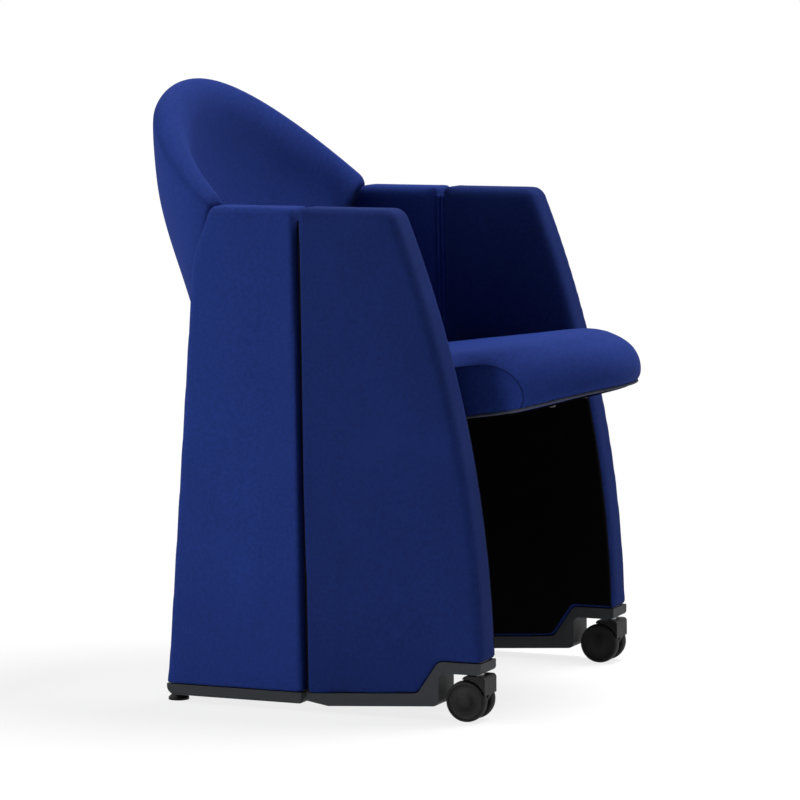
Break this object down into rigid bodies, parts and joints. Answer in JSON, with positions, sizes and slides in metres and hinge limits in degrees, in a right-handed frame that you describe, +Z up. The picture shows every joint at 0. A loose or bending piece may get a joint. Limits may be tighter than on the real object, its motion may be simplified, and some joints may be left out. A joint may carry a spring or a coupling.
{
  "type": "folding conference chair",
  "caption": "Upholstered tub chair with a bowl back, tip-up seat and hinged side wings that swing inward, on twin-wheel casters and rear glides.",
  "frame": {"origin": "on the floor under the middle of the bounding box", "axes": "+Z up, the chair faces -Y, +X is the sitter's left"},
  "size_m": [0.54, 0.661, 0.826],
  "materials": {
    "upholstery": "woven, matt",
    "core_board": "raw plywood",
    "base_trim": "fine grain",
    "lining": "matt",
    "foot_plastic": "satin",
    "wheel": "satin",
    "rubber": "matt",
    "painted_steel": "satin powder coat",
    "bright_steel": "zinc plated",
    "cast_mount": "as cast"
  },
  "bodies": {
    "rear_unit": {"back_core": "core_board", "back_upholstery": "upholstery", "back_bracket_left": "painted_steel", "back_bracket_right": "painted_steel", "rear_core_left": "core_board", "rear_core_right": "core_board", "rear_upholstery_left": "upholstery", "rear_upholstery_right": "upholstery", "rear_trim_left": "base_trim", "rear_trim_right": "base_trim", "rear_lining_left": "lining", "rear_lining_right": "lining", "rear_glide_left": "foot_plastic", "rear_glide_right": "foot_plastic", "hinge_leaf_rear_left": "bright_steel", "hinge_leaf_rear_right": "bright_steel", "hinge_pin_left": "bright_steel", "hinge_pin_right": "bright_steel", "seam_strip_left": "rubber", "seam_strip_right": "rubber", "pivot_tube": "painted_steel", "pivot_flange_left": "painted_steel", "pivot_flange_right": "painted_steel", "seat_stop_left": "rubber", "seat_stop_right": "rubber"},
    "seat": {"seat_cushion": "upholstery", "seat_pan": "lining", "seat_arm_left": "painted_steel", "seat_arm_right": "painted_steel"},
    "wing_left": {"wing_core_left": "core_board", "wing_upholstery_left": "upholstery", "wing_trim_left": "base_trim", "wing_lining_left": "lining", "hinge_leaf_front_left": "bright_steel", "caster_mount_left": "cast_mount"},
    "caster_left": {"caster_stem_left": "bright_steel", "caster_hood_left": "foot_plastic", "caster_axle_left": "bright_steel"},
    "wheel_outer_left": {"caster_wheel_outer_left": "wheel"},
    "wheel_inner_left": {"caster_wheel_inner_left": "wheel"},
    "wing_right": {"wing_core_right": "core_board", "wing_upholstery_right": "upholstery", "wing_trim_right": "base_trim", "wing_lining_right": "lining", "hinge_leaf_front_right": "bright_steel", "caster_mount_right": "cast_mount"},
    "caster_right": {"caster_stem_right": "bright_steel", "caster_hood_right": "foot_plastic", "caster_axle_right": "bright_steel"},
    "wheel_outer_right": {"caster_wheel_outer_right": "wheel"},
    "wheel_inner_right": {"caster_wheel_inner_right": "wheel"}
  },
  "joints": [
    {"name": "seat_tip", "type": "hinge", "parent": "rear_unit", "child": "seat", "pos_m": [0, 0.0895, 0.32601], "axis": [-1, 0, 0], "range_deg": [0, 75]},
    {"name": "wing_left_fold", "type": "hinge", "parent": "rear_unit", "child": "wing_left", "pos_m": [0.226, 0.0235, 0.025], "axis": [0, -0.0125, -0.9999], "range_deg": [0, 25.6]},
    {"name": "caster_left_swivel", "type": "hinge", "parent": "wing_left", "child": "caster_left", "pos_m": [0.243, -0.2165, 0.06], "axis": [0, 0, 1], "continuous": true},
    {"name": "wheel_outer_left_spin", "type": "hinge", "parent": "caster_left", "child": "wheel_outer_left", "pos_m": [0.257, -0.2035, 0.0275], "axis": [1, 0, 0], "continuous": true},
    {"name": "wheel_inner_left_spin", "type": "hinge", "parent": "caster_left", "child": "wheel_inner_left", "pos_m": [0.229, -0.2035, 0.0275], "axis": [1, 0, 0], "continuous": true},
    {"name": "wing_right_fold", "type": "hinge", "parent": "rear_unit", "child": "wing_right", "pos_m": [-0.226, 0.0235, 0.025], "axis": [0, 0.0125, 0.9999], "range_deg": [0, 25.6]},
    {"name": "caster_right_swivel", "type": "hinge", "parent": "wing_right", "child": "caster_right", "pos_m": [-0.243, -0.2165, 0.06], "axis": [0, 0, 1], "continuous": true},
    {"name": "wheel_outer_right_spin", "type": "hinge", "parent": "caster_right", "child": "wheel_outer_right", "pos_m": [-0.257, -0.2035, 0.0275], "axis": [1, 0, 0], "continuous": true},
    {"name": "wheel_inner_right_spin", "type": "hinge", "parent": "caster_right", "child": "wheel_inner_right", "pos_m": [-0.229, -0.2035, 0.0275], "axis": [1, 0, 0], "continuous": true}
  ],
  "couplings": [
    {"joint": "wing_left_fold", "follows": "seat_tip", "ratio": 0.34},
    {"joint": "wing_right_fold", "follows": "seat_tip", "ratio": 0.34}
  ]
}
